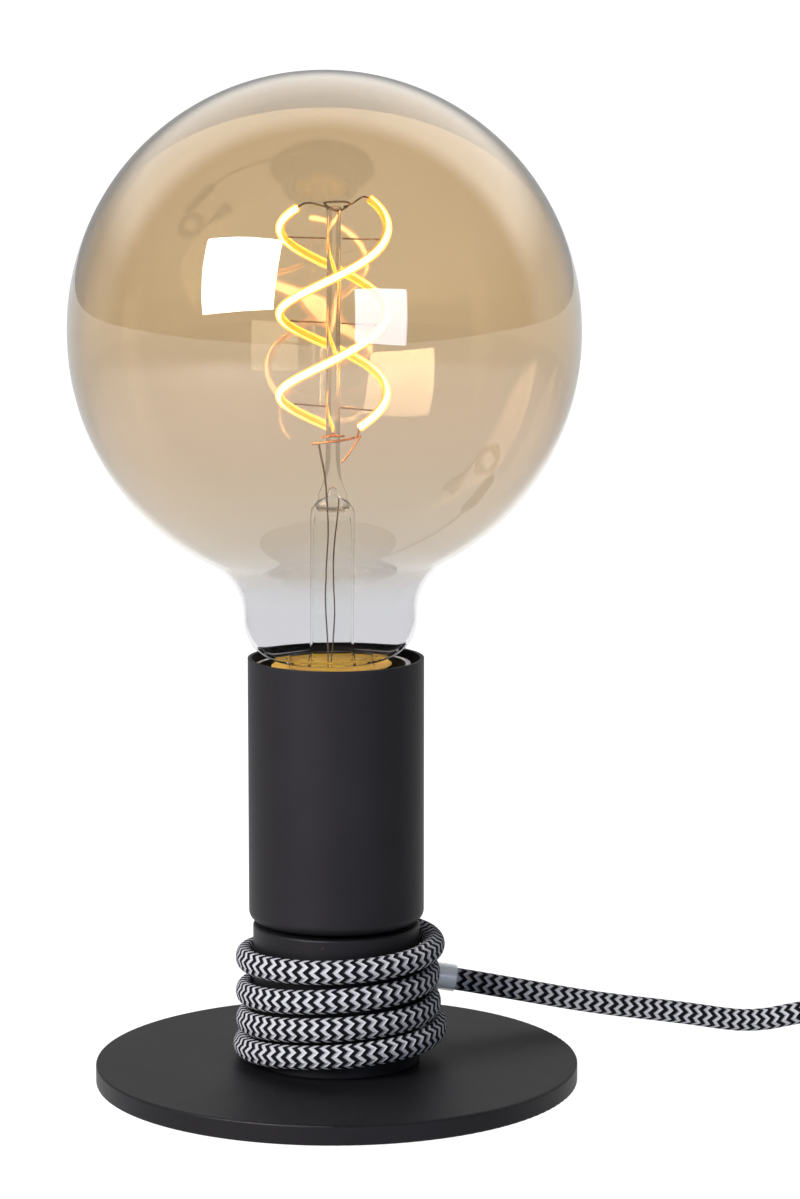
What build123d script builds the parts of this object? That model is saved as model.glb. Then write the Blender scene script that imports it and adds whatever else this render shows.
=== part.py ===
from build123d import *
import os
from math import ceil, cos, dist, pi, radians, sin, tan

# Bedside lamp: a black disc base, a drum with the textile cord wound on it, a black tube round
# the lampholder, and a large globe bulb that screws into the holder.
# Frame: origin on the table under the middle of the base, +Z up, -Y towards the viewer, mm.

# Base
base_diameter = 120.0
base_thickness = 5.0
base_edge_round = 0.5
pad_rim = 5.0
pad_recess = 1.0
pad_proud = 0.3
pad_gap = 0.2
screw_diameter = 4.0
screw_head_diameter = 7.6
screw_head_sink = 0.2
screw_circle_diameter = 22.0
screw_count = 3
screw_grip = 4.0

# Drum that carries the cord
drum_diameter = 41.4
drum_wall = 1.2
drum_height = 35.0
drum_top_plate = 1.5
drum_edge_round = 0.6
foot_thickness = 5.0

# Tube round the lampholder, and what clamps it to the drum
tube_diameter = 43.4
tube_wall = 0.9
tube_height = 65.6
tube_floor = 1.5
tube_corner_round = 2.5
shadow_gap = 0.9
spacer_diameter = 30.0
nipple_diameter = 10.0
nipple_bore = 7.2
nipple_grip = 8.0
nut_width = 14.0
nut_height = 3.0
lock_washer_diameter = 17.0
lock_washer_thickness = 0.8
seat_washer_diameter = 17.0
seat_washer_thickness = 1.0
nipple_tail = 1.0

# Lampholder, which leans a little to the left on its nipple
holder_lean = 1.0
holder_diameter = 39.0
holder_wall = 1.2
skirt_height = 43.0
cap_boss_diameter = 16.0
cap_boss_height = 6.15
cap_cone_height = 7.0
cap_shoulder_height = 5.0
cap_spigot_height = 9.0
cap_wall = 1.5
nipple_thread_gap = 0.25
core_height = 10.5
core_ledge = 2.4
terminal_width = 6.0
terminal_height = 6.8
terminal_offset = 9.0
terminal_screw_diameter = 3.0
terminal_screw_length = 5.0
contact_thickness = 0.6
contact_width = 6.0
contact_height = 4.7
contact_reach = 8.0

# Screw thread of the bulb and its holder, a round thread of one start
thread_pitch = 3.629
thread_major = 26.3
thread_depth = 0.95
thread_sections = 12
shell_wall = 0.4
shell_flange_diameter = 31.0
shell_flange_thickness = 1.0
shell_height = 24.0

# Bulb
globe_diameter = 125.0
globe_stretch = 1.3
glass_wall = 0.9
neck_diameter = 42.6
neck_straight = 1.0
neck_blend = 15.71
neck_seat = 1.8
neck_stub_diameter = 22.4
neck_stub_depth = 5.5
cap_length = 27.0
cap_sheet = 0.38
cap_collar_height = 3.5
cap_collar_step = 0.2
cap_rim_thickness = 0.5
cap_rim_hole = 18.0
insulator_height = 4.2
insulator_tip_diameter = 11.0
button_diameter = 9.6
button_height = 0.8
stem_tube_diameter = 10.8
stem_tube_wall = 1.0
stem_flare_height = 6.0
stem_depth = 105.0
stem_tilt = 1.4
stem_pinch_height = 8.0
rod_diameter = 4.0
lead_wire_diameter = 0.6
lead_wire_offset = 2.85
board_width = 14.0
board_height = 14.0
board_thickness = 1.4
capacitor_diameter = 6.0
capacitor_length = 9.0

# Two glowing filaments, each a spiral round the glass rod
filament_diameter = 1.8
filament_spiral_diameter = 26.0
filament_pitch = 39.0
filament_turns = 1.33
filament_top_depth = 33.5
filament_start_angle = 48.0
filament_joint_gap = 0.3
filament_wire_diameter = 0.5
support_wire_diameter = 0.4
support_depths = (7.0, 27.5, 48.0)
hub_diameter = 7.0
hub_thickness = 0.8
hub_drop = 3.0

# Textile cord, its winding on the drum and its free stretch
cord_diameter = 5.6
winding_pitch = 7.2
winding_turns = 3.5
winding_gap = 0.15
winding_top_depth = 5.3
entry_rise = 0.15
entry_angle = 66.0
entry_slant = 50.0
entry_bulge = 0.9
entry_turn = -1 / 24
entry_tail = 15.5
entry_reach = 2.5
cross_gap = 0.9
sleeve_length = 12.0
sleeve_wall = 0.5
sleeve_gap = 0.15
bush_wall = 0.6
bush_gap = 0.1
bush_inside = 5.0
bush_outside = 8.0
anchor_inside = 11.0
anchor_length = 4.0
anchor_wall = 0.6
core_wire_diameter = 2.2
core_wire_spread = 1.5
core_wire_dip = 4.4
core_wire_bend = 5.5
core_wire_radius = 5.0

# Route of the free stretch, from the clear sleeve to the switch, and where the switch lies
lead_route = [
    (24.0, 31.3, 18.9),
    (44.0, 33.0, 15.3),
    (66.0, 36.6, 10.9),
    (90.0, 41.5, 6.9),
    (108.0, 45.3, 2.4),
    (124.0, 47.0, 6.0),
    (140.0, 47.0, 6.0),
]

lead_largest_radius = 500.0

# Switch in the cord
switch_length = 60.0
switch_width = 25.0
switch_height = 16.5
switch_wall = 1.8
switch_corner = 9.0
switch_bottom_round = 1.6
switch_top_round = 3.5
switch_entry_depth = 4.0
rocker_length = 18.4
rocker_width = 10.0
rocker_tilt = 8.0
rocker_pivot_depth = 3.2
rocker_rise = 3.9
rocker_waist = 2.6
rocker_drop = 1.6
rocker_gap = 0.4
pivot_diameter = 2.4
pivot_gap = 0.06
lug_thickness = 2.2
lug_length = 5.0
lug_drop = 2.6
switch_post_diameter = 5.6
switch_post_x = 21.0
switch_post_y = 7.0
switch_screw_diameter = 2.4
switch_screw_head = 4.4
switch_screw_sink = 2.0
switch_screw_length = 10.0
block_length = 8.0
block_width = 7.0
block_height = 6.0
block_offset = 14.0
leaf_thickness = 0.5
leaf_width = 3.0
leaf_side = 2.0

# Rest of the cord, put away in a coil with its tie and plug
coil_mid_diameter = 60.0
coil_turns = 4.5
coil_gap = 0.6
coil_drop_length = 28.0
coil_rise_length = 24.0
tie_width = 10.0
tie_thickness = 0.6
tie_gap = 0.3
tie_slack = 1.0
plug_length = 33.0
plug_width = 34.0
plug_height = 14.0
plug_neck_width = 13.0
plug_shoulder = 12.0
plug_edge_round = 3.0
plug_relief_length = 25.0
plug_relief_wall = 2.0
plug_relief_tip_wall = 0.8
pin_diameter = 4.0
pin_length = 19.0
pin_spacing = 18.6
pin_seat = 6.0
pin_tip_round = 1.2

# Fits
fit_gap = 0.1
run_gap = 0.3

CENTRE_MIN = (Align.CENTER, Align.CENTER, Align.MIN)

# Radii that several pieces share
drum_radius = drum_diameter / 2
drum_bore = drum_radius - drum_wall
tube_bore = tube_diameter / 2 - tube_wall
holder_radius = holder_diameter / 2
skirt_bore = holder_radius - holder_wall
nipple_radius = nipple_diameter / 2
cord_radius = cord_diameter / 2
thread_mean = thread_major / 2 - thread_depth / 2
female_mean = thread_mean + run_gap
stub_radius = neck_stub_diameter / 2
rod_radius = rod_diameter / 2
stem_radius = stem_tube_diameter / 2
cap_bore = thread_mean - cap_sheet - thread_depth / 2
neck_radius = neck_diameter / 2
globe_radius = globe_diameter / 2

# Heights that follow from the sizes above
base_bottom = pad_proud
base_top = base_bottom + base_thickness
drum_top = base_top + drum_height
drum_ceiling = drum_top - drum_top_plate
nut_top = drum_ceiling - lock_washer_thickness
nut_bottom = nut_top - nut_height
nipple_bottom = nut_bottom - nipple_tail
tube_bottom = drum_top + shadow_gap
tube_top = tube_bottom + tube_height
floor_top = tube_bottom + tube_floor
seat_washer_top = floor_top + seat_washer_thickness
holder_seat = seat_washer_top + cap_boss_diameter / 2 * tan(radians(holder_lean))
boss_top = holder_seat + cap_boss_height
cone_top = boss_top + cap_cone_height
skirt_bottom = cone_top + cap_shoulder_height
skirt_top = skirt_bottom + skirt_height
spigot_top = skirt_bottom + cap_spigot_height
core_top = skirt_bottom + core_height
shell_bottom = core_top + shell_flange_thickness
shell_top = core_top + shell_height
bulb_bottom = core_top + contact_height + run_gap
cap_top = bulb_bottom + cap_length
button_top = bulb_bottom + button_height
insulator_top = button_top + insulator_height
cap_rim_top = insulator_top + cap_rim_thickness
neck_low = cap_top + neck_seat + neck_radius - stub_radius
neck_high = neck_low + neck_straight
globe_low = neck_high + ((globe_radius + neck_blend) ** 2 - (neck_radius + neck_blend) ** 2) ** 0.5
globe_high = globe_low + globe_stretch
bulb_top = globe_high + globe_radius
stub_bottom = cap_top - neck_stub_depth
stem_seat = cap_top - neck_stub_depth / 2
filament_top = bulb_top - filament_top_depth
filament_bottom = filament_top - filament_turns * filament_pitch
rod_top = filament_top + hub_thickness

nodes = {}


def disc(radius, low, high):
    return Pos(0, 0, low) * Cylinder(radius, high - low, align=CENTRE_MIN)


def ring(outer, inner, low, high):
    return disc(outer, low, high) - disc(inner, low, high)


def turned(*outline):
    """Solid of revolution about Z from a closed outline of (radius, height) points."""
    edges = Polyline(*[(radius, 0, height) for radius, height in outline], close=True)
    return revolve(make_face(edges), Axis.Z)


def bar(start, end, diameter):
    """Round bar from one point to another."""
    start, end = Vector(start), Vector(end)
    along = end - start
    return Plane(origin=start, z_dir=along) * Cylinder(diameter / 2, along.length, align=CENTRE_MIN)


def leaning(shape):
    """The shape set over with the lampholder, about the middle of its seat."""
    return Pos(0, 0, holder_seat) * Rot(0, -holder_lean, 0) * Pos(0, 0, -holder_seat) * shape


def on_stem(shape):
    """A piece of the stem, which stands more upright than the bulb's glass, about its flare."""
    return leaning(Pos(0, 0, stem_seat) * Rot(0, stem_tilt, 0) * Pos(0, 0, -stem_seat) * shape)


def leaning_point(x, y, z):
    lean = radians(holder_lean)
    height = z - holder_seat
    return (x * cos(lean) - height * sin(lean), y, holder_seat + x * sin(lean) + height * cos(lean))


def threaded(mean_radius, low, high):
    """Round-threaded bar: its circular section is carried round the axis once per pitch."""
    steps = ceil((high - low) / thread_pitch * thread_sections)
    sections = []
    for step in range(steps + 1):
        height = low + (high - low) * step / steps
        turn = 2 * pi * height / thread_pitch
        centre = (thread_depth / 2 * cos(turn), thread_depth / 2 * sin(turn), height)
        sections.append(Pos(*centre) * Circle(mean_radius))
    return loft(sections, ruled=True)


def biarc(start, start_way, end, end_way):
    """Two tangent arcs, or one line, from a point and heading to another point and heading."""
    across = end - start
    if start_way.cross(across).length < 1e-6 * across.length:
        return [Edge.make_line(start, end)]
    ways = start_way + end_way
    bend = 2 * (start_way.dot(end_way) - 1)
    lean = across.dot(ways)
    span = across.dot(across)
    if abs(bend) < 1e-9:
        reach = span / (2 * lean)
    else:
        reach = (lean - (lean * lean - bend * span) ** 0.5) / bend
    first = start + start_way * reach
    last = end - end_way * reach
    middle = (first + last) * 0.5
    return [
        Edge.make_tangent_arc(start, start_way, middle),
        Edge.make_tangent_arc(middle, last - first, end),
    ]


def through(stations):
    """Biarcs through a list of (point, heading) stations."""
    edges = []
    for (start, start_way), (end, end_way) in zip(stations, stations[1:]):
        edges += biarc(start, start_way, end, end_way)
    return edges


def tube(edges, diameter, name):
    """Round tube along tangent edges; prints its volume against section times length."""
    path = Wire(edges)
    solid = sweep(Plane(origin=path @ 0, z_dir=path % 0) * Circle(diameter / 2), path=path)
    expected = pi * diameter**2 / 4 * path.length
    ratio = solid.volume / expected
    print(f"{name}: length {path.length:.1f} mm, volume over section times length {ratio:.4f}")
    return solid


def least_gap(edges, diameter, name):
    """Prints the least gap of a wound tube to itself, measured on points along its middle."""
    points = []
    run = 0.0
    spacing = diameter / 3
    for edge in edges:
        count = max(2, round(edge.length / spacing))
        for step in range(count):
            points.append((run + edge.length * step / count, tuple(edge @ (step / count))))
        run += edge.length
    least = min(
        dist(point, other)
        for at, point in points
        for other_at, other in points
        if other_at - at > 4 * diameter
    )
    print(f"{name}: least gap to itself {least - diameter:.2f} mm")


def route_radii(points, largest):
    """Arc radius at each inner point of a route, as large as its two runs allow; prints them."""
    radii = []
    for before, point, after in zip(points, points[1:], points[2:]):
        run_in = Vector(point) - Vector(before)
        run_out = Vector(after) - Vector(point)
        half_turn = radians(run_in.get_angle(run_out)) / 2
        room = 0.45 * min(run_in.length, run_out.length) / tan(half_turn)
        radii.append(min(room, largest))
    print("arc radii", [round(radius, 1) for radius in radii])
    return radii


def heading(x, y, z):
    return Vector(x, y, z).normalized()


# Base disc, with a recess under it for the pad and countersunk holes for the drum's screws
def make_base():
    radius = base_diameter / 2
    pad_radius = radius - pad_rim
    recess_top = base_bottom + pad_recess
    head_low = recess_top + screw_head_sink
    head_top = head_low + (screw_head_diameter - screw_diameter) / 2
    screw_top = base_top + screw_grip
    plate = disc(radius, base_bottom, base_top)
    plate = fillet(plate.edges().filter_by(GeomType.CIRCLE), base_edge_round)
    plate -= disc(pad_radius, base_bottom, recess_top)
    nodes["base_pad"] = disc(pad_radius - pad_gap, 0, recess_top)
    foot = disc(drum_bore - fit_gap, base_top, base_top + foot_thickness)
    hole = turned(
        (0, recess_top), (screw_head_diameter / 2 + fit_gap, recess_top),
        (screw_head_diameter / 2 + fit_gap, head_low), (screw_diameter / 2 + fit_gap, head_top),
        (screw_diameter / 2 + fit_gap, base_top), (0, base_top),
    )
    screw = turned(
        (0, head_low), (screw_head_diameter / 2, head_low), (screw_diameter / 2, head_top),
        (screw_diameter / 2, screw_top), (0, screw_top),
    )
    tapped = disc(screw_diameter / 2 + fit_gap, base_top, base_top + foot_thickness)
    screws = []
    for place in PolarLocations(screw_circle_diameter / 2, screw_count, start_angle=90):
        plate -= place * hole
        foot -= place * tapped
        screws.append(place * screw)
    nodes["base_disc"] = plate
    nodes["drum_foot"] = foot
    nodes["base_screws"] = Part() + screws


# Where the cord goes through the drum's wall
entry_height = drum_top - winding_top_depth + entry_rise
entry_radial = heading(cos(radians(entry_angle)), sin(radians(entry_angle)), 0)
entry_way = heading(cos(radians(entry_angle - entry_slant)), sin(radians(entry_angle - entry_slant)), 0)
entry_middle = entry_radial * (drum_radius - drum_wall / 2) + Vector(0, 0, entry_height)
bush_radius = cord_radius + bush_gap + bush_wall


def entry_bar(radius, inside, outside):
    return bar(entry_middle - entry_way * inside, entry_middle + entry_way * outside, 2 * radius)


# Drum with a closed top, the bush where the cord enters and the anchor that stops its pull
def make_drum():
    drum = disc(drum_radius, base_top, drum_top)
    drum = fillet(drum.edges().filter_by(GeomType.CIRCLE), drum_edge_round)
    drum -= disc(drum_bore, base_top, drum_ceiling)
    drum -= disc(nipple_radius + fit_gap, drum_ceiling, drum_top)
    drum -= entry_bar(bush_radius + fit_gap, entry_tail, bush_outside)
    nodes["cord_drum"] = drum
    bush = entry_bar(bush_radius, bush_inside, bush_outside) & disc(drum_radius, base_top, drum_top)
    nodes["cord_bush"] = bush - entry_bar(cord_radius + bush_gap, bush_inside, bush_outside)
    anchor_end = anchor_inside + anchor_length
    nodes["cord_anchor"] = bar(
        entry_middle - entry_way * anchor_inside,
        entry_middle - entry_way * anchor_end,
        cord_diameter + 2 * bush_gap + 2 * anchor_wall,
    ) - entry_bar(cord_radius + bush_gap, anchor_end, 0)


# Threaded tube, nut and washers that clamp the drum, spacer, tube and holder together
def make_clamp():
    nipple_top = holder_seat + nipple_grip
    nodes["threaded_nipple"] = ring(nipple_radius, nipple_bore / 2, nipple_bottom, nipple_top)
    hexagon = Pos(0, 0, nut_bottom) * RegularPolygon(nut_width / 2, 6, major_radius=False)
    nodes["nipple_nut"] = extrude(hexagon, nut_height) - disc(nipple_radius + fit_gap, nut_bottom, nut_top)
    nodes["lock_washer"] = ring(lock_washer_diameter / 2, nipple_radius + fit_gap, nut_top, drum_ceiling)
    nodes["spacer_ring"] = ring(spacer_diameter / 2, nipple_radius + fit_gap, drum_top, tube_bottom)
    nodes["seat_washer"] = ring(
        seat_washer_diameter / 2, nipple_radius + fit_gap, floor_top, seat_washer_top
    )
    shell = disc(tube_diameter / 2, tube_bottom, tube_top)
    shell = fillet(shell.edges().group_by(Axis.Z)[0], tube_corner_round)
    cavity = disc(tube_bore, floor_top, tube_top)
    cavity = fillet(cavity.edges().group_by(Axis.Z)[0], max(tube_corner_round - tube_wall, tube_wall))
    shell -= cavity
    shell -= disc(nipple_radius + fit_gap, tube_bottom, floor_top)
    nodes["lamp_tube"] = shell


# Lampholder: entry cap, skirt, insulating core, screw shell and its electrical parts
def make_holder():
    cavity_radius = holder_radius - holder_wall - cap_wall - fit_gap
    ledge_radius = cavity_radius - core_ledge
    spigot_radius = skirt_bore - fit_gap
    thread_radius = nipple_radius + nipple_thread_gap
    grip_top = holder_seat + nipple_grip
    cap = turned(
        (thread_radius, holder_seat), (cap_boss_diameter / 2, holder_seat),
        (cap_boss_diameter / 2, boss_top), (holder_radius, cone_top),
        (holder_radius, skirt_bottom), (spigot_radius, skirt_bottom),
        (spigot_radius, spigot_top), (cavity_radius, spigot_top),
        (cavity_radius, skirt_bottom), (ledge_radius, skirt_bottom),
        (ledge_radius, cone_top), (thread_radius, grip_top),
    )
    nodes["holder_cap"] = leaning(cap)
    nodes["holder_skirt"] = leaning(ring(holder_radius, skirt_bore, skirt_bottom, skirt_top))

    core = disc(cavity_radius - fit_gap, skirt_bottom, core_top)
    pocket = terminal_width + 2 * fit_gap
    terminals = []
    screws = []
    for side in (-1, 1):
        place = Pos(side * terminal_offset, 0, skirt_bottom)
        core -= place * Box(pocket, pocket, terminal_height + fit_gap, align=CENTRE_MIN)
        middle = (side * terminal_offset, 0, skirt_bottom + terminal_height / 2)
        face = (side * terminal_offset, -terminal_width / 2, middle[2])
        head = (side * terminal_offset, -terminal_width / 2 + terminal_screw_length, middle[2])
        block = place * Box(terminal_width, terminal_width, terminal_height, align=CENTRE_MIN)
        terminals.append(block - bar(face, head, terminal_screw_diameter + 2 * fit_gap))
        screws.append(bar(face, head, terminal_screw_diameter))
    nodes["holder_core"] = leaning(core)
    nodes["holder_terminals"] = leaning(Part() + terminals)
    nodes["terminal_screws"] = leaning(Part() + screws)

    flange = disc(shell_flange_diameter / 2, core_top, shell_bottom)
    shell = threaded(female_mean + shell_wall, shell_bottom, shell_top) + flange
    shell -= threaded(female_mean, shell_bottom, shell_top)
    shell -= disc(female_mean - thread_depth, core_top, shell_bottom)
    nodes["screw_shell"] = leaning(shell)

    low = core_top
    high = core_top + contact_height
    leaf = Polyline(
        (-contact_reach, 0, low), (contact_reach / 2, 0, low),
        (contact_reach / 2, 0, low + contact_thickness), (-contact_thickness, 0, high),
        (-contact_reach / 2, 0, high), (-contact_reach / 2, 0, high - contact_thickness),
        (-2 * contact_thickness, 0, high - contact_thickness),
        (contact_reach / 4, 0, low + contact_thickness), (-contact_reach, 0, low + contact_thickness),
        close=True,
    )
    strip = extrude(make_face(leaf), contact_width / 2, dir=(0, 1, 0), both=True)
    nodes["centre_contact"] = leaning(strip)


# The two insulated wires from the cord's end, one above the other, up through the nipple
def make_core_wires():
    start = entry_middle - entry_way * entry_tail
    corner = start - entry_way * core_wire_bend
    inward = heading(-corner.X, -corner.Y, 0)
    dip = nipple_bottom - core_wire_dip
    for name, side in (("live_wire", -1), ("neutral_wire", 1)):
        offset = side * core_wire_spread
        terminal = leaning_point(side * terminal_offset, 0, skirt_bottom - fit_gap)
        points = [
            (start.X, start.Y, start.Z - offset),
            (corner.X, corner.Y, corner.Z - offset),
            (corner.X / 2, corner.Y / 2, dip - offset),
            (inward.X * offset, inward.Y * offset, dip - offset),
            (inward.X * offset, inward.Y * offset, holder_seat + nipple_grip),
            (terminal[0], 0, cone_top + core_wire_diameter / 2),
            terminal,
        ]
        path = FilletPolyline(*points, radius=route_radii(points, core_wire_radius))
        nodes[name] = tube(path.edges(), core_wire_diameter, name)


# Outline of the glass, from the crown to the stub that the cap is cemented to
def glass_outline(inset):
    radius = globe_radius - inset
    blend = neck_blend + inset
    centre = neck_radius + neck_blend
    apart = globe_radius + neck_blend
    side, drop = centre / apart, (globe_low - neck_high) / apart
    join = (radius * side, 0, globe_low - radius * drop)
    half = ((1 + side) / 2, drop / 2)
    half_length = (half[0] ** 2 + half[1] ** 2) ** 0.5
    half_side, half_drop = half[0] / half_length, half[1] / half_length
    corner = neck_radius - stub_radius - inset
    diagonal = 0.5**0.5
    crown = (0, 0, bulb_top - inset)
    flat = neck_radius - inset
    seat = neck_low - corner
    globe_mid = (radius * half_side, 0, globe_low - radius * half_drop)
    blend_mid = (centre - blend * half_side, 0, neck_high + blend * half_drop)
    bowl_mid = (stub_radius + corner * diagonal, 0, neck_low - corner * diagonal)
    return [
        ThreePointArc(crown, (radius * diagonal, 0, globe_high + radius * diagonal), (radius, 0, globe_high)),
        Line((radius, 0, globe_high), (radius, 0, globe_low)),
        ThreePointArc((radius, 0, globe_low), globe_mid, join),
        ThreePointArc(join, blend_mid, (flat, 0, neck_high)),
        Line((flat, 0, neck_high), (flat, 0, neck_low)),
        ThreePointArc((flat, 0, neck_low), bowl_mid, (stub_radius, 0, seat)),
        Line((stub_radius, 0, seat), (stub_radius - inset, 0, seat)) if inset else None,
        Line((stub_radius - inset, 0, seat), (stub_radius - inset, 0, stub_bottom)),
        Line((stub_radius - inset, 0, stub_bottom), (0, 0, stub_bottom)),
        Line((0, 0, stub_bottom), crown),
    ]


def glass_solid(inset):
    edges = [edge for edge in glass_outline(inset) if edge is not None]
    return revolve(make_face(edges), Axis.Z)


# Bulb: glass, stem, cap and driver
def make_bulb():
    nodes["bulb_globe"] = leaning(glass_solid(0) - glass_solid(glass_wall))

    flare_radius = stub_radius - glass_wall - fit_gap
    flare_top = stub_bottom + neck_stub_depth
    tube_low = flare_top + stem_flare_height
    pinch = bulb_top - stem_depth
    stem = turned(
        (0, pinch), (stem_radius - stem_tube_wall, pinch - stem_tube_wall),
        (stem_radius - stem_tube_wall, tube_low), (flare_radius - stem_tube_wall, flare_top),
        (flare_radius - stem_tube_wall, stub_bottom), (flare_radius, stub_bottom),
        (flare_radius, flare_top), (stem_radius, tube_low), (stem_radius, pinch),
        (stem_radius - stem_tube_wall, pinch + stem_pinch_height / 2),
        (rod_radius, pinch + stem_pinch_height), (rod_radius, rod_top), (0, rod_top),
    )
    board_top = insulator_top + board_height
    hub_low = filament_bottom - hub_drop
    wires = []
    for side, top in ((-1, hub_low), (1, rod_top)):
        foot = (side * lead_wire_offset, 0, board_top + fit_gap)
        tip = (side * lead_wire_offset, 0, top)
        stem -= bar(foot, tip, lead_wire_diameter + 2 * fit_gap)
        wires.append(bar(foot, tip, lead_wire_diameter))
    nodes["bulb_stem"] = on_stem(stem)
    nodes["lead_wires"] = on_stem(Part() + wires)

    thread_top = cap_top - cap_collar_height
    cap = threaded(thread_mean, insulator_top, thread_top)
    cap -= threaded(thread_mean - cap_sheet, cap_rim_top, thread_top)
    cap -= disc(cap_rim_hole / 2, insulator_top, cap_rim_top)
    cap += ring(thread_major / 2 + cap_collar_step, cap_bore - cap_collar_step, thread_top, cap_top)
    nodes["bulb_cap"] = leaning(cap)
    nodes["cap_insulator"] = leaning(turned(
        (0, button_top), (insulator_tip_diameter / 2, button_top),
        (cap_bore, insulator_top), (0, insulator_top),
    ))
    nodes["cap_contact"] = leaning(turned(
        (0, bulb_bottom), (button_diameter / 4, bulb_bottom),
        (button_diameter / 2, button_top), (0, button_top),
    ))
    board = Pos(0, 0, insulator_top) * Box(board_width, board_thickness, board_height, align=CENTRE_MIN)
    nodes["led_driver"] = leaning(board)
    capacitor_y = -(board_thickness + capacitor_diameter) / 2
    capacitor_low = insulator_top + (board_height - capacitor_length) / 2
    capacitor = Pos(0, capacitor_y, 0) * disc(
        capacitor_diameter / 2, capacitor_low, capacitor_low + capacitor_length
    )
    nodes["driver_capacitor"] = leaning(capacitor)


def filament_station(turn, phase):
    """Point and downward heading of a filament's middle line after a number of turns."""
    angle = radians(filament_start_angle + phase) - 2 * pi * turn
    radius = filament_spiral_diameter / 2
    point = Vector(radius * cos(angle), radius * sin(angle), filament_top - filament_pitch * turn)
    way = heading(2 * pi * radius * sin(angle), -2 * pi * radius * cos(angle), -filament_pitch)
    return point, way


# Two spiral filaments with the hubs and wires that hold them to the rod
def make_filaments():
    quarters = ceil(filament_turns * 4)
    turns = [filament_turns * step / quarters for step in range(quarters + 1)]
    hub_low = filament_bottom - hub_drop
    hub_radius = hub_diameter / 2
    wires = []
    top_hub = disc(hub_radius, rod_top, rod_top + hub_thickness)
    bottom_hub = ring(hub_radius, rod_radius + fit_gap, hub_low, hub_low + hub_thickness)
    slot = lead_wire_offset - lead_wire_diameter
    bottom_hub -= Pos(slot + hub_radius, 0, hub_low) * Box(
        2 * hub_radius, hub_diameter, hub_thickness, align=CENTRE_MIN
    )
    for name, phase in (("filament_left", 180.0), ("filament_right", 0.0)):
        stations = [filament_station(turn, phase) for turn in turns]
        first, first_way = stations[0]
        last, last_way = stations[-1]
        top_end = first - first_way * filament_diameter
        bottom_end = last + last_way * filament_diameter
        edges = [Edge.make_line(top_end, first)] + through(stations) + [Edge.make_line(last, bottom_end)]
        nodes[name] = on_stem(tube(edges, filament_diameter, name))
        clear = filament_joint_gap + filament_wire_diameter / 2
        top_joint = top_end - first_way * clear
        bottom_joint = bottom_end + last_way * clear
        top_hub += bar((0, 0, rod_top + hub_thickness / 2), top_joint, filament_wire_diameter)
        out = heading(bottom_joint.X, bottom_joint.Y, 0) * (hub_radius - filament_wire_diameter)
        bottom_hub += bar(
            (out.X, out.Y, hub_low + hub_thickness / 2), bottom_joint, filament_wire_diameter
        )
        reach = filament_spiral_diameter / 2 - filament_diameter / 2 - filament_joint_gap
        for depth in support_depths:
            angle = radians(filament_start_angle + phase) - 2 * pi * depth / filament_pitch
            way = Vector(cos(angle), sin(angle), 0)
            level = Vector(0, 0, filament_top - depth)
            wires.append(
                bar(level + way * (rod_radius + fit_gap), level + way * reach, support_wire_diameter)
            )
    nodes["filament_top_hub"] = on_stem(top_hub)
    nodes["filament_bottom_hub"] = on_stem(bottom_hub)
    nodes["support_wires"] = on_stem(Part() + wires)


def winding_station(turn):
    """Point and heading of the wound cord's middle line, counted in turns from the right side."""
    blend = max(0.0, 1 - (turn - entry_turn) / (0.25 - entry_turn))
    radius = drum_radius + winding_gap + cord_radius + entry_bulge * blend**2
    growth = -2 * entry_bulge * blend / (0.25 - entry_turn)
    angle = -2 * pi * turn
    point = Vector(
        radius * cos(angle), radius * sin(angle), drum_top - winding_top_depth - winding_pitch * turn
    )
    way = heading(
        growth * cos(angle) + 2 * pi * radius * sin(angle),
        growth * sin(angle) - 2 * pi * radius * cos(angle),
        -winding_pitch,
    )
    return point, way


def around(angle, radius, height, outward, climb):
    """Station on the way round the back: outward and climb turn its heading off the circle."""
    angle = radians(angle)
    point = Vector(radius * cos(angle), radius * sin(angle), height)
    way = heading(
        sin(angle) + outward * cos(angle), -cos(angle) + outward * sin(angle), climb
    )
    return point, way


# The wound cord: out of the drum, down round it, and over its own turns at the back
def make_winding():
    lead_way = (Vector(lead_route[1]) - Vector(lead_route[0])).normalized()
    lead_start = Vector(lead_route[0])
    straight_end = max(cord_diameter, sleeve_length / 2 + 1)
    over = drum_radius + winding_gap + cord_diameter + cross_gap + cord_radius
    tail = entry_middle - entry_way * entry_tail
    mouth = entry_middle + entry_way * entry_reach
    low = drum_top - winding_top_depth - winding_pitch * winding_turns
    rise = lead_route[0][2] - low
    stations = [(mouth, entry_way), winding_station(entry_turn)]
    stations += [winding_station(quarter / 4) for quarter in range(1, round(winding_turns * 4) + 1)]
    stations.append(around(152, over - cord_radius * 1.05, low + 0.03 * rise, 0.24, 0.06))
    stations.append(around(124, over, low + 0.42 * rise, 0.06, 0.30))
    stations.append(around(94, over, low + 1.02 * rise, 0.02, 0.18))
    stations.append((lead_start - lead_way * straight_end, lead_way))
    edges = [Edge.make_line(tail, mouth)] + through(stations)
    edges.append(Edge.make_line(lead_start - lead_way * straight_end, lead_start))
    nodes["cord_winding"] = tube(edges, cord_diameter, "cord_winding")
    least_gap(edges, cord_diameter, "cord_winding")

    half = lead_way * (sleeve_length / 2)
    bore = cord_diameter + 2 * sleeve_gap
    sleeve = bar(lead_start - half, lead_start + half, bore + 2 * sleeve_wall)
    nodes["clear_sleeve"] = sleeve - bar(lead_start - half, lead_start + half, bore)


# The free stretch of cord from the sleeve to the switch
def make_lead():
    path = FilletPolyline(*lead_route, radius=route_radii(lead_route, lead_largest_radius))
    nodes["cord_lead"] = tube(path.edges(), cord_diameter, "cord_lead")


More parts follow.
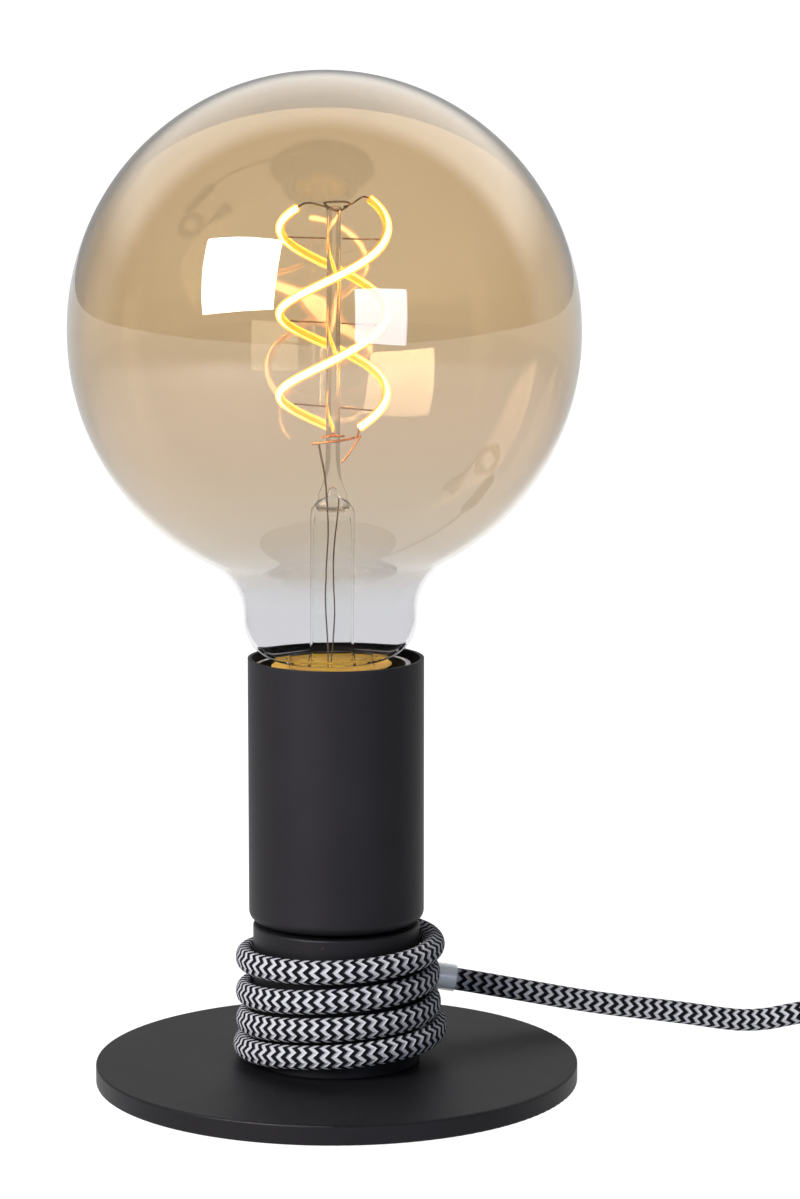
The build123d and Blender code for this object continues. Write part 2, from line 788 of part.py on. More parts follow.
# Where the switch lies: the lead ends a little way inside its wall
switch_left = lead_route[-1][0] - switch_entry_depth
switch_middle = switch_left + switch_length / 2
switch_y = lead_route[-1][1]
switch_split = lead_route[-1][2]
pivot_height = switch_height - rocker_pivot_depth


def in_switch(shape):
    return Pos(switch_middle, switch_y, 0) * shape


# Switch in the cord: two shells, a rocker on a pin, terminals, contact leaf and screws
def make_switch():
    inner_length = switch_length - 2 * switch_wall
    inner_width = switch_width - 2 * switch_wall
    inner_corner = switch_corner - switch_wall
    ceiling = switch_height - switch_wall
    outline = RectangleRounded(switch_length, switch_width, switch_corner)
    hollow = RectangleRounded(inner_length, inner_width, inner_corner)
    base = extrude(outline, switch_split)
    base = fillet(base.edges().group_by(Axis.Z)[0], switch_bottom_round)
    base -= Pos(0, 0, switch_wall) * extrude(hollow, switch_split - switch_wall)
    cover = Pos(0, 0, switch_split) * extrude(outline, switch_height - switch_split)
    cover = fillet(cover.edges().group_by(Axis.Z)[-1], switch_top_round)
    cover -= Pos(0, 0, switch_split) * extrude(hollow, ceiling - switch_split)

    window = rocker_length + 2 * rocker_gap + 2 * rocker_rise * sin(radians(rocker_tilt))
    lug_middle = rocker_width / 2 + rocker_gap + lug_thickness / 2
    for side in (-1, 1):
        lug = Pos(0, side * lug_middle, pivot_height - lug_drop) * Box(
            lug_length, lug_thickness, ceiling - pivot_height + lug_drop + fit_gap, align=CENTRE_MIN
        )
        cover += lug
    cover -= Pos(0, 0, ceiling) * Box(
        window, rocker_width + 2 * rocker_gap, switch_wall, align=CENTRE_MIN
    )
    pin_half = lug_middle + lug_thickness / 2
    cover -= bar((0, -pin_half, pivot_height), (0, pin_half, pivot_height), pivot_diameter + 2 * pivot_gap)

    screws = []
    head_top = switch_screw_sink
    for side in (-1, 1):
        x, y = side * switch_post_x, -side * switch_post_y
        place = Pos(x, y, 0)
        base += place * disc(switch_post_diameter / 2, switch_wall, switch_split)
        base -= place * disc(switch_screw_head / 2 + fit_gap, 0, head_top)
        base -= place * disc(switch_screw_diameter / 2 + fit_gap, head_top, switch_split)
        cover += place * disc(switch_post_diameter / 2, switch_split, ceiling)
        screw_hole = disc(switch_screw_diameter / 2 + fit_gap, switch_split, switch_screw_length + fit_gap)
        cover -= place * screw_hole
        screw = disc(switch_screw_head / 2, fit_gap, head_top)
        screws.append(place * (screw + disc(switch_screw_diameter / 2, head_top, switch_screw_length)))
    entries = bar(
        (-switch_length / 2, 0, switch_split), (switch_length / 2, 0, switch_split),
        cord_diameter + 2 * fit_gap,
    )
    base -= entries
    cover -= entries
    nodes["switch_base"] = in_switch(base)
    nodes["switch_cover"] = in_switch(cover)
    nodes["switch_screws"] = in_switch(Part() + screws)

    half = rocker_length / 2
    profile = Polyline(
        (-half, 0, -rocker_drop), (half, 0, -rocker_drop), (half, 0, rocker_rise),
        (0, 0, rocker_waist), (-half, 0, rocker_rise), close=True,
    )
    rocker = extrude(make_face(profile), rocker_width / 2, dir=(0, 1, 0), both=True)
    pin = bar((0, -pin_half + fit_gap, 0), (0, pin_half - fit_gap, 0), pivot_diameter)
    rocker = Pos(0, 0, pivot_height) * Rot(0, rocker_tilt, 0) * (rocker + pin)
    nodes["switch_rocker"] = in_switch(rocker)

    block_top = switch_wall + block_height
    blocks = []
    for side in (-1, 1):
        block = Pos(side * block_offset, 0, switch_wall) * Box(
            block_length, block_width, block_height, align=CENTRE_MIN
        )
        blocks.append(block)
    nodes["switch_terminals"] = in_switch(Part() + blocks)
    leaf_start = -block_offset - block_length / 2
    leaf_end = block_offset - block_length / 2 - fit_gap
    leaf = Pos((leaf_start + leaf_end) / 2, leaf_side, block_top) * Box(
        leaf_end - leaf_start, leaf_width, leaf_thickness, align=CENTRE_MIN
    )
    nodes["switch_contact"] = in_switch(leaf)


# Where the coil lies: the cord leaves the switch, drops and runs into the coil's outer turn
coil_step = cord_diameter + coil_gap
coil_low = tie_thickness + tie_gap + cord_radius
coil_half = coil_turns / 2
coil_outer = coil_mid_diameter / 2 + coil_step * coil_half / 2
switch_right = switch_left + switch_length
coil_x = switch_right + cord_diameter + coil_drop_length
coil_y = switch_y - coil_outer


def coil_station(turn):
    """Point and heading of the coil: in along the lower layer, then out along the upper one."""
    angle = pi / 2 - 2 * pi * turn
    away = turn - coil_half
    radius = coil_mid_diameter / 2 + coil_step * (abs(away) - coil_half / 2)
    growth = coil_step * (0 if away == 0 else away / abs(away))
    climb = min(max((away + 0.25) / 0.5, 0.0), 1.0)
    height = coil_low + coil_step * climb * climb * (3 - 2 * climb)
    steep = coil_step * 6 * climb * (1 - climb) / 0.5
    point = Vector(coil_x + radius * cos(angle), coil_y + radius * sin(angle), height)
    way = heading(
        growth * cos(angle) + 2 * pi * radius * sin(angle),
        growth * sin(angle) - 2 * pi * radius * cos(angle),
        steep,
    )
    return point, way


# The rest of the cord: a tied coil of two layers that ends in the plug
def make_coil():
    ahead = Vector(1, 0, 0)
    back = Vector(-1, 0, 0)
    start = Vector(switch_right - switch_entry_depth, switch_y, switch_split)
    drop = Vector(switch_right + cord_diameter, switch_y, switch_split)
    first = Vector(coil_x, switch_y, coil_low)
    quarters = round(coil_turns * 4)
    turns = [coil_turns * step / quarters for step in range(1, quarters)]
    last, _ = coil_station(coil_turns)
    plug_axis = plug_height / 2
    relief_tip = Vector(last.X - coil_rise_length - cord_diameter, last.Y, plug_axis)
    cord_end = relief_tip + back * plug_relief_length
    stations = [(drop, ahead), (first, ahead)]
    stations += [coil_station(turn) for turn in turns]
    stations += [(last, back), (relief_tip - back * cord_diameter, back)]
    edges = [Edge.make_line(start, drop)] + through(stations)
    edges.append(Edge.make_line(relief_tip - back * cord_diameter, cord_end))
    nodes["cord_coil"] = tube(edges, cord_diameter, "cord_coil")
    least_gap(edges, cord_diameter, "cord_coil")

    inner = coil_mid_diameter / 2 - coil_step * coil_half / 2 - cord_radius - tie_slack
    outer = coil_outer + cord_radius + tie_slack
    top = coil_low + coil_step + cord_radius + tie_gap
    middle = coil_x + (inner + outer) / 2
    strap = Pos(middle, coil_y, 0) * Box(
        outer - inner + 2 * tie_thickness, tie_width, top + tie_thickness, align=CENTRE_MIN
    )
    strap -= Pos(middle, coil_y, tie_thickness) * Box(
        outer - inner, tie_width, top - tie_thickness, align=CENTRE_MIN
    )
    nodes["coil_tie"] = strap

    relief_end = cord_diameter + 2 * fit_gap
    relief = loft([
        Plane(origin=relief_tip, z_dir=back) * Circle(relief_end / 2 + plug_relief_tip_wall),
        Plane(origin=cord_end, z_dir=back) * Circle(relief_end / 2 + plug_relief_wall),
    ])
    nodes["plug_relief"] = relief - bar(relief_tip, cord_end, relief_end)

    face_x = cord_end.X - plug_length
    shoulder_x = face_x + plug_shoulder
    outline = Polyline(
        (cord_end.X, last.Y - plug_neck_width / 2), (cord_end.X, last.Y + plug_neck_width / 2),
        (shoulder_x, last.Y + plug_width / 2), (face_x, last.Y + plug_width / 2),
        (face_x, last.Y - plug_width / 2), (shoulder_x, last.Y - plug_width / 2),
        close=True,
    )
    body = extrude(make_face(outline), plug_height)
    flat_edges = body.edges().filter_by(GeomType.LINE).group_by(Axis.Z)
    body = fillet(flat_edges[0] + flat_edges[-1], plug_edge_round)
    pins = []
    for side in (-1, 1):
        y = last.Y + side * pin_spacing / 2
        seat = (face_x + pin_seat, y, plug_axis)
        pin = bar(seat, (face_x - pin_length, y, plug_axis), pin_diameter)
        pin = fillet(pin.edges().group_by(Axis.X)[0], pin_tip_round)
        body -= bar(seat, (face_x, y, plug_axis), pin_diameter + 2 * fit_gap)
        pins.append(pin)
    nodes["plug_body"] = body
    nodes["plug_pins"] = Part() + pins


make_base()
make_drum()
make_clamp()
make_holder()
make_core_wires()
make_bulb()
make_filaments()
make_winding()
make_lead()
make_switch()
make_coil()

os.makedirs("parts", exist_ok=True)
for name, shape in nodes.items():
    export_step(shape, f"parts/{name}.step")
print(len(nodes), "nodes")
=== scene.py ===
import bpy
from math import atan2, copysign, cos, hypot, pi, radians, sin
from mathutils import Matrix, Vector


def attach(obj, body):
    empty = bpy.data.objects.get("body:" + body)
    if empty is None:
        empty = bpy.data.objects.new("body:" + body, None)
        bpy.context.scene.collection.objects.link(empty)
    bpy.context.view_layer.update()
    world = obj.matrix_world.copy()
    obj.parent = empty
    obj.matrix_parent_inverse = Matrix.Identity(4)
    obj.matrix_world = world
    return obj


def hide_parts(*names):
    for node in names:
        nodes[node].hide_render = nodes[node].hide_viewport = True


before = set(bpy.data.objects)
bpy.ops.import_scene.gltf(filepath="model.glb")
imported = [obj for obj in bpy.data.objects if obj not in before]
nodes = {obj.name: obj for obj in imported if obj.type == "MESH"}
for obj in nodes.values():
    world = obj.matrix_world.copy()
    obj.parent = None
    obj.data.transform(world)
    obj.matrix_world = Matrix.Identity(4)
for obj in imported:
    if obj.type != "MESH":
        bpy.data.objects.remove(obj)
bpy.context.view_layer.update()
scene = bpy.context.scene
MM = 0.001


def tilted(seat, angle):
    """Turn by degrees about the Y direction, through a point."""
    turn = Matrix.Rotation(radians(angle), 4, "Y")
    return Matrix.Translation(seat) @ turn @ Matrix.Translation(-seat)


# The lampholder and bulb lean, as in the solids
LEAN = tilted(Vector((0, 0, 43.84)) * MM, -1.0)
# The stem and filaments stand more upright than the glass, about the foot of the stem
STEM = LEAN @ tilted(Vector((0, 0, 101.74)) * MM, 1.4)

# Camera, as fitted to the photograph
SENSOR = 36.0
FOCAL_PIXELS = 4000
PHOTO_TALL = 1199
CAMERA_PLACE = Vector((15.76, -970.0, 269.6)) * MM
CAMERA_DIP = 8.70


def make_camera():
    camera = bpy.data.cameras.new("camera")
    camera.sensor_width = SENSOR
    camera.lens = SENSOR * FOCAL_PIXELS / PHOTO_TALL
    camera.clip_start = 0.01
    camera.clip_end = 400.0
    body = bpy.data.objects.new("camera", camera)
    body.location = CAMERA_PLACE
    body.rotation_euler = (radians(90 - CAMERA_DIP), 0, 0)
    scene.collection.objects.link(body)
    scene.camera = body


# Meshes
def add_mesh(name, vertices, faces, sharp=35.0, uvs=None):
    mesh = bpy.data.meshes.new(name)
    mesh.from_pydata(vertices, [], faces)
    mesh.update()
    if uvs:
        layer = mesh.uv_layers.new(name="UVMap")
        for polygon, corners in zip(mesh.polygons, uvs):
            for loop, uv in zip(polygon.loop_indices, corners):
                layer.data[loop].uv = uv
    mesh.shade_smooth()
    if sharp:
        mesh.set_sharp_from_angle(angle=radians(sharp))
    piece = bpy.data.objects.new(name, mesh)
    scene.collection.objects.link(piece)
    return piece


def arc(centre, radius, start, end, count):
    """Points of an arc in (radius, height), by angle in degrees from outward to up."""
    points = []
    for step in range(count + 1):
        angle = radians(start + (end - start) * step / count)
        points.append((centre[0] + radius * cos(angle), centre[1] + radius * sin(angle)))
    return points


def lathe(name, outline, segments=128, sharp=35.0, place=LEAN):
    """Turned piece from a list of (radius, height) in mm; points on the axis become poles."""
    tiny = 1e-6
    vertices = []
    rows = []
    for before, (radius, height) in zip([None] + outline, outline):
        if before and hypot(before[0] - radius, before[1] - height) < tiny:
            continue
        if radius < tiny:
            rows.append([len(vertices)])
            vertices.append(Vector((0, 0, height)) * MM)
            continue
        rows.append(list(range(len(vertices), len(vertices) + segments)))
        for step in range(segments):
            angle = 2 * pi * step / segments
            vertices.append(Vector((radius * cos(angle), radius * sin(angle), height)) * MM)
    pairs = list(zip(rows, rows[1:]))
    if len(rows[0]) > 1 and len(rows[-1]) > 1:
        pairs.append((rows[-1], rows[0]))
    faces = []
    for upper, lower in pairs:
        if len(upper) == 1 and len(lower) == 1:
            continue
        for step in range(segments):
            after = (step + 1) % segments
            if len(upper) == 1:
                faces.append((upper[0], lower[step], lower[after]))
            elif len(lower) == 1:
                faces.append((upper[step], lower[0], upper[after]))
            else:
                faces.append((upper[step], lower[step], lower[after], upper[after]))
    return add_mesh(name, [place @ vertex for vertex in vertices], faces, sharp)


def sweep(name, path, section, sides=24, pitch=None, sharp=None, up=Vector((0, 0, 1)), boxy=1.0):
    """Tube along points; section(fraction) gives its half height and half width."""
    count = len(path)
    vertices = []
    run = [0.0]
    for before, after in zip(path, path[1:]):
        run.append(run[-1] + (after - before).length)
    for index, point in enumerate(path):
        way = (path[min(index + 1, count - 1)] - path[max(index - 1, 0)]).normalized()
        rise = (up - way * up.dot(way)).normalized()
        side = way.cross(rise)
        tall, wide = section(run[index] / run[-1])
        for step in range(sides):
            angle = 2 * pi * step / sides
            high, across = (copysign(abs(part) ** boxy, part) for part in (sin(angle), cos(angle)))
            vertices.append(point + rise * (tall * high) + side * (wide * across))
    faces = []
    uvs = []
    scale = 1 / pitch if pitch else 1 / run[-1]
    for index in range(count - 1):
        for step in range(sides):
            after = (step + 1) % sides
            low, high = index * sides, (index + 1) * sides
            faces.append((low + step, low + after, high + after, high + step))
            u, v = step / sides, (step + 1) / sides
            a, b = run[index] * scale, run[index + 1] * scale
            uvs.append(((u, a), (v, a), (v, b), (u, b)))
    first = tuple(range(sides))[::-1]
    last = tuple(range((count - 1) * sides, count * sides))
    for cap, at in ((first, 0), (last, -1)):
        faces.append(cap)
        uvs.append([(0.5, run[at] * scale)] * sides)
    return add_mesh(name, vertices, faces, sharp, uvs)


def evenly(tall, wide=None):
    """Section of a tube that is the same all along, from half sizes in mm."""
    return lambda part: (tall * MM, (wide or tall) * MM)


def read_spline(points, resolution):
    """Points in metres along a smooth spline that has these control points in mm."""
    curve = bpy.data.curves.new("route", "CURVE")
    curve.dimensions = "3D"
    curve.resolution_u = resolution
    spline = curve.splines.new("NURBS")
    spline.points.add(len(points) - 1)
    for place, point in zip(spline.points, points):
        place.co = (*(Vector(point) * MM), 1.0)
    spline.order_u = 3
    spline.use_endpoint_u = True
    route = bpy.data.objects.new("route", curve)
    mesh = bpy.data.meshes.new_from_object(route)
    line = [vertex.co.copy() for vertex in mesh.vertices]
    bpy.data.objects.remove(route)
    bpy.data.curves.remove(curve)
    bpy.data.meshes.remove(mesh)
    return line


def length_of(path):
    return sum((after - before).length for before, after in zip(path, path[1:]))


# Materials
class Paint:
    """A node material with one shader, and short calls to add to it."""

    def __init__(self, name, colour, roughness, metallic=0.0, **sockets):
        self.material = bpy.data.materials.new(name)
        self.material.use_nodes = True
        self.tree = self.material.node_tree
        self.shader = self.tree.nodes["Principled BSDF"]
        self.set("Base Color", (*colour, 1.0))
        self.set("Roughness", roughness)
        self.set("Metallic", metallic)
        for socket, value in sockets.items():
            self.set(socket.replace("_", " "), value)
        self.material.diffuse_color = (*colour, 1.0)

    def set(self, socket, value):
        self.shader.inputs[socket].default_value = value

    def drive(self, socket, value):
        self.tree.links.new(value, self.shader.inputs[socket])

    def node(self, kind, inputs=(), **settings):
        made = self.tree.nodes.new(kind)
        for key, value in settings.items():
            setattr(made, key, value)
        for key, value in inputs:
            self.feed(made.inputs[key], value)
        return made

    def feed(self, socket, value):
        if hasattr(value, "is_output"):
            self.tree.links.new(value, socket)
        else:
            socket.default_value = value

    def math(self, operation, first, second=0.0, third=0.0):
        made = self.node("ShaderNodeMath", operation=operation)
        for socket, value in zip(made.inputs, (first, second, third)):
            self.feed(socket, value)
        return made.outputs[0]

    def mix(self, factor, first, second, blend="MIX"):
        inputs = [("Factor", factor), ("A", first), ("B", second)]
        return self.node("ShaderNodeMix", inputs, data_type="RGBA", blend_type=blend).outputs["Result"]

    def place(self, kind="Object"):
        return self.node("ShaderNodeTexCoord").outputs[kind]

    def normal(self):
        return self.node("ShaderNodeNewGeometry").outputs["Normal"]

    def split(self, vector):
        return self.node("ShaderNodeSeparateXYZ", [("Vector", vector)]).outputs

    def noise(self, scale, detail=3.0, roughness=0.5, stretch=(1, 1, 1)):
        spread = self.node("ShaderNodeMapping", [("Vector", self.place()), ("Scale", stretch)])
        made = self.node(
            "ShaderNodeTexNoise",
            [("Vector", spread.outputs[0]), ("Scale", scale), ("Detail", detail), ("Roughness", roughness)],
        )
        return made.outputs["Fac"]

    def ramp(self, value, *stops):
        made = self.node("ShaderNodeValToRGB", [("Fac", value)])
        stop_list = made.color_ramp.elements
        while len(stop_list) < len(stops):
            stop_list.new(0.5)
        for stop, (place, colour) in zip(stop_list, stops):
            stop.position = place
            stop.color = (*colour, 1.0)
        return made.outputs["Color"]

    def span(self, value, low, high, start=0.0, end=1.0, smooth=False):
        """Value from low at the start of a range to high at its end."""
        inputs = [("Value", value), ("From Min", start), ("From Max", end), ("To Min", low), ("To Max", high)]
        kind = "SMOOTHSTEP" if smooth else "LINEAR"
        return self.node("ShaderNodeMapRange", inputs, interpolation_type=kind).outputs[0]

    def by_height(self, socket, low, high, below, above):
        """Drive a socket from one value below a height to another above it."""
        self.drive(socket, self.span(self.split(self.place())[2], below, above, low, high))

    def bump(self, height, strength, distance):
        inputs = [("Strength", strength), ("Distance", distance), ("Height", height)]
        self.drive("Normal", self.node("ShaderNodeBump", inputs).outputs[0])


def dress(piece, paint):
    piece.data.materials.clear()
    piece.data.materials.append(paint.material)


def dress_nodes(paint, *names):
    for name in names:
        dress(nodes[name], paint)


def grey(value):
    return (value, value, value)


def tinged(value):
    """Near-black grey with a faint violet cast."""
    return (value * 1.05, value * 0.95, value * 1.15)


# Cloudiness of the black finishes: its scale, its share of the tone, and the height of the grain
CLOUD_SCALE = 45.0
CLOUD_SHARE = 0.6
GRAIN_HEIGHT = 0.12 * MM


def coated_black(name, dark, light, rough_low, rough_high, grain, depth):
    """Black finish with a fine grain, faint cloudiness and a slightly uneven gloss."""
    paint = Paint(name, grey(dark), rough_low, Specular_IOR_Level=0.15)
    paint.set("Specular Tint", (0.96, 0.91, 1.0, 1.0))
    fine = paint.noise(grain, 2.0, 0.6)
    cloud = paint.noise(CLOUD_SCALE, 4.0, 0.55)
    tone = paint.math("MULTIPLY_ADD", cloud, CLOUD_SHARE, paint.math("MULTIPLY", fine, 1 - CLOUD_SHARE))
    paint.drive("Base Color", paint.ramp(tone, (0.3, tinged(dark)), (0.75, tinged(light))))
    paint.drive("Roughness", paint.span(cloud, rough_low, rough_high))
    paint.bump(fine, depth, GRAIN_HEIGHT)
    return paint


def flecked(name, dark, light, rough_low, rough_high, scale, metallic=0.0, stretch=(1, 1, 1), **sockets):
    """Finish whose colour and gloss wander between two values."""
    paint = Paint(name, light, rough_low, metallic, **sockets)
    cloud = paint.noise(scale, 3.0, 0.55, stretch)
    paint.drive("Base Color", paint.ramp(cloud, (0.35, dark), (0.65, light)))
    paint.drive("Roughness", paint.span(cloud, rough_low, rough_high))
    return paint


def felt_paint():
    paint = flecked("felt", grey(0.018), grey(0.045), 0.95, 1.0, 900.0, Sheen_Weight=0.4)
    fibres = paint.noise(2600.0, 3.0, 0.7)
    paint.bump(fibres, 0.8, 0.4 * MM)
    return paint


def board_paint():
    """White circuit board with the faint lines of its tracks."""
    track, board = (0.48, 0.50, 0.42), (0.80, 0.80, 0.76)
    paint = Paint("circuit_board", grey(0.75), 0.45)
    cells = [("Vector", paint.place()), ("Scale", 420.0)]
    lines = paint.node("ShaderNodeTexVoronoi", cells, feature="DISTANCE_TO_EDGE").outputs["Distance"]
    paint.drive("Base Color", paint.ramp(lines, (0.02, track), (0.08, board)))
    return paint


def skirt_paint():
    """Black lampholder with a painted highlight: its upward-facing top rim is painted pale grey where light
    falls on it.
    """
    black, painted_highlight = grey(0.016), (0.52, 0.51, 0.52)
    paint = Paint("holder_skirt", grey(0.02), 0.45)
    # Painted highlight: faces that point upward turn pale grey, with a noisy edge
    highlight_wander = paint.math("MULTIPLY_ADD", paint.noise(700.0), 0.2, -0.1)
    upward = paint.math("ADD", paint.split(paint.normal())[2], highlight_wander)
    paint.drive("Base Color", paint.ramp(upward, (0.55, black), (0.8, painted_highlight)))
    return paint


def pin_paint():
    """Bright pins with a black collar on the half next to the plug."""
    collar_start, collar_end = 132.4 * MM, 132.7 * MM
    black = (0.015, 0.015, 0.016, 1.0)
    paint = Paint("nickel", (0.62, 0.60, 0.56), 0.25)
    collar = paint.span(paint.split(paint.place())[0], 0.0, 1.0, collar_start, collar_end)
    scratch = paint.noise(900.0, stretch=(0.1, 1, 1))
    metal = paint.ramp(scratch, (0.35, (0.50, 0.48, 0.45)), (0.65, (0.66, 0.64, 0.60)))
    paint.drive("Base Color", paint.mix(collar, metal, black))
    paint.drive("Metallic", paint.math("SUBTRACT", 1.0, collar))
    paint.drive("Roughness", paint.span(scratch, 0.2, 0.4))
    return paint


def braid_paint():
    """Black and white zigzag braid drawn in the cord's own lengthwise and round coordinates."""
    teeth_round, first_tooth = 14.0, 1.35
    paint = Paint("textile_braid", grey(0.3), 0.9, Specular_IOR_Level=0.08)
    around, along, _ = paint.split(paint.place("UV"))
    teeth = paint.math("PINGPONG", paint.math("MULTIPLY_ADD", around, teeth_round, first_tooth), 1.0)
    wander = paint.math("MULTIPLY_ADD", paint.noise(900.0, 1.0), 0.10, -0.05)
    wave = paint.math("ADD", along, paint.math("MULTIPLY_ADD", teeth, 0.5, wander))
    stripe = paint.math("FRACT", wave)
    yarn = paint.math("ABSOLUTE", paint.math("SINE", paint.math("MULTIPLY", teeth, pi)))
    bar = paint.math("ABSOLUTE", paint.math("SINE", paint.math("MULTIPLY", wave, 2 * pi)))
    fibre = paint.noise(5200.0, 2.0, 0.7)
    white = paint.ramp(fibre, (0.25, (0.20, 0.198, 0.215)), (0.8, (0.365, 0.362, 0.39)))
    black = paint.ramp(fibre, (0.3, (0.001, 0.001, 0.002)), (0.8, (0.005, 0.005, 0.007)))
    off, on = grey(0.0), grey(1.0)
    is_white = paint.ramp(stripe, (0.01, on), (0.05, off), (0.51, off), (0.55, on))
    # Painted shade: the colour darkens to 0.45 of itself in the grooves between the bars
    groove_shade = paint.ramp(bar, (0.0, grey(0.45)), (0.5, grey(1.0)))
    paint.drive("Base Color", paint.mix(1.0, paint.mix(is_white, black, white), groove_shade, "MULTIPLY"))
    height = paint.math("MULTIPLY_ADD", bar, 0.7, paint.math("MULTIPLY", yarn, 0.3))
    paint.bump(paint.math("MULTIPLY_ADD", fibre, 0.15, height), 0.7, 0.4 * MM)
    return paint


# Both stretches of the cord: pitch of the braid, and control points in a full turn
BRAID_PITCH = 2.68 * MM
STEPS = 24
# Control points of a round turn lie a little outside the spline that they make
OUTSIDE = 1 / cos(pi / STEPS)

# Cord: wound on the drum, then free to the switch
DRUM_RADIUS = 20.7
WOUND_TALL = 3.0
WOUND_THICK = 2.2
FREE_RADIUS = 2.85
WOUND_RADIUS = 23.4
# Shares of the cord's length: where it has become flat, and over how much it flattens and rounds again
FLAT_FROM = 0.12
FLATTENING = 0.05
ROUNDING = 0.06

# Heights of the wound cord's middle line at each quarter turn, from the right side and clockwise
WOUND_HEIGHTS = (
    34.4, 33.0, 31.6, 29.6, 27.5, 25.8, 22.9, 21.6, 20.0, 18.7, 15.8, 14.9, 13.9, 12.0, 9.3,
)
# How far the cord stands off the drum there
WOUND_SLACK = (1.1, 0.3, 0.0, 0.2, 0.7, 0.2, 0.0, 0.2, 0.9, 0.2, 0.0, 0.8, 2.4, 0.7, 0.0)

# Where the cord comes out of the drum, and its first points there: angle, radius, height
ENTRY = (66, DRUM_RADIUS - 0.6, 35.15)
# The angle that it heads to, and distances along that way
ENTRY_WAY = 16
ENTRY_STEPS = (-9, -3, 3.5)
ENTRY_TURN = ((43, 24.6, 35.0), (27, 24.9, 34.8), (13, 24.5, 34.6))
# Last points at the back of the drum, where the cord climbs away over its turns
LEAVING_TURN = (
    (165, 23.6, 8.9), (150, 25.0, 9.0), (136, 27.6, 10.0), (122, 29.6, 12.6),
    (108, 30.6, 15.8), (95, 30.8, 18.4), (82, 31.0, 19.7), (69, 32.0, 19.8),
)
LEAD_ROUTE = (
    (24.0, 31.3, 18.9),
    (44.0, 33.0, 15.0),
    (66.0, 36.6, 10.1),
    (90.0, 41.5, 6.2),
    (108.0, 45.3, 2.4),
    (124.0, 47.0, 6.0),
    (140.0, 47.0, 6.0),
)


def smooth(part):
    """Ease a fraction in and out, kept between 0 and 1."""
    part = min(max(part, 0.0), 1.0)
    return part * part * (3 - 2 * part)


def eased(values, place):
    """Value between listed ones, eased so that the line has no corner."""
    index = min(int(place), len(values) - 2)
    part = place - index
    before = values[max(index - 1, 0)]
    start, end = values[index], values[index + 1]
    after = values[min(index + 2, len(values) - 1)]
    slope_in, slope_out = (end - before) / 2, (after - start) / 2
    square, cube = part * part, part**3
    return (
        start * (2 * cube - 3 * square + 1) + slope_in * (cube - 2 * square + part)
        + end * (3 * square - 2 * cube) + slope_out * (cube - square)
    )


def polar(angle, radius, height):
    return (radius * cos(radians(angle)), radius * sin(radians(angle)), height)


def make_wound_cord(paint):
    entry = Vector(polar(*ENTRY))
    outward = Vector(polar(ENTRY_WAY, 1, 0))
    points = [tuple(entry + outward * step) for step in ENTRY_STEPS]
    points += [polar(*point) for point in ENTRY_TURN]
    quarters = len(WOUND_HEIGHTS) - 1
    for step in range(quarters * STEPS // 4 + 1):
        place = step * 4 / STEPS
        radius = DRUM_RADIUS + WOUND_THICK + eased(WOUND_SLACK, place)
        points.append(polar(-90 * place, radius * OUTSIDE, eased(WOUND_HEIGHTS, place)))
    points += [polar(*point) for point in LEAVING_TURN]
    points += LEAD_ROUTE
    path = read_spline(points, 4)
    wound = quarters * pi / 2 * WOUND_RADIUS * MM / length_of(path)

    def section(part):
        """Pressed flat on the drum, round before and after it."""
        free = smooth(max((part - wound) / ROUNDING, (FLAT_FROM - part) / FLATTENING))
        tall = WOUND_TALL + (FREE_RADIUS - WOUND_TALL) * free
        wide = WOUND_THICK + (FREE_RADIUS - WOUND_THICK) * free
        return tall * MM, wide * MM

    cord = sweep("cord_wound", path, section, sides=28, pitch=BRAID_PITCH)
    dress(cord, paint)
    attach(cord, "lamp")
    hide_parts("cord_winding", "cord_lead")
    round(length_of(path), 3)


# Rest of the cord: switch to coil to plug
COIL_CENTRE = (229.6, 10.025)
COIL_RADIUS = 30.0
COIL_STEP = 6.2
COIL_TURNS = 4.5
COIL_LOW = 3.7
COIL_CORD = 2.7
# Part of a turn over which the cord climbs from the lower layer to the upper one
COIL_CLIMB = 0.5
PLUG_HEIGHT = 7.0
FROM_SWITCH = ((192.0, 47.0, 6.0), (198.0, 47.0, 6.0), (206.0, 47.0, 5.6), (217.0, 47.0, 4.2))
# Straight run from the coil's front edge to the plug, as sideways place and height
TO_PLUG = (
    (229.0, 9.9), (220.0, 9.6), (211.0, 7.6),
    (202.0, PLUG_HEIGHT), (190.0, PLUG_HEIGHT), (175.2, PLUG_HEIGHT),
)

# Strap round the coil: half width and half thickness, distance from the middle of the cord, lift of the
# loose end, and the turns that it holds, in coil steps from the coil's radius
TIE_WIDE, TIE_THICK = 4.7, 0.33
TIE_REACH, TIE_LIFT = 3.2, 0.75
TIE_TURNS = (-1.125, -0.125, 0.875)


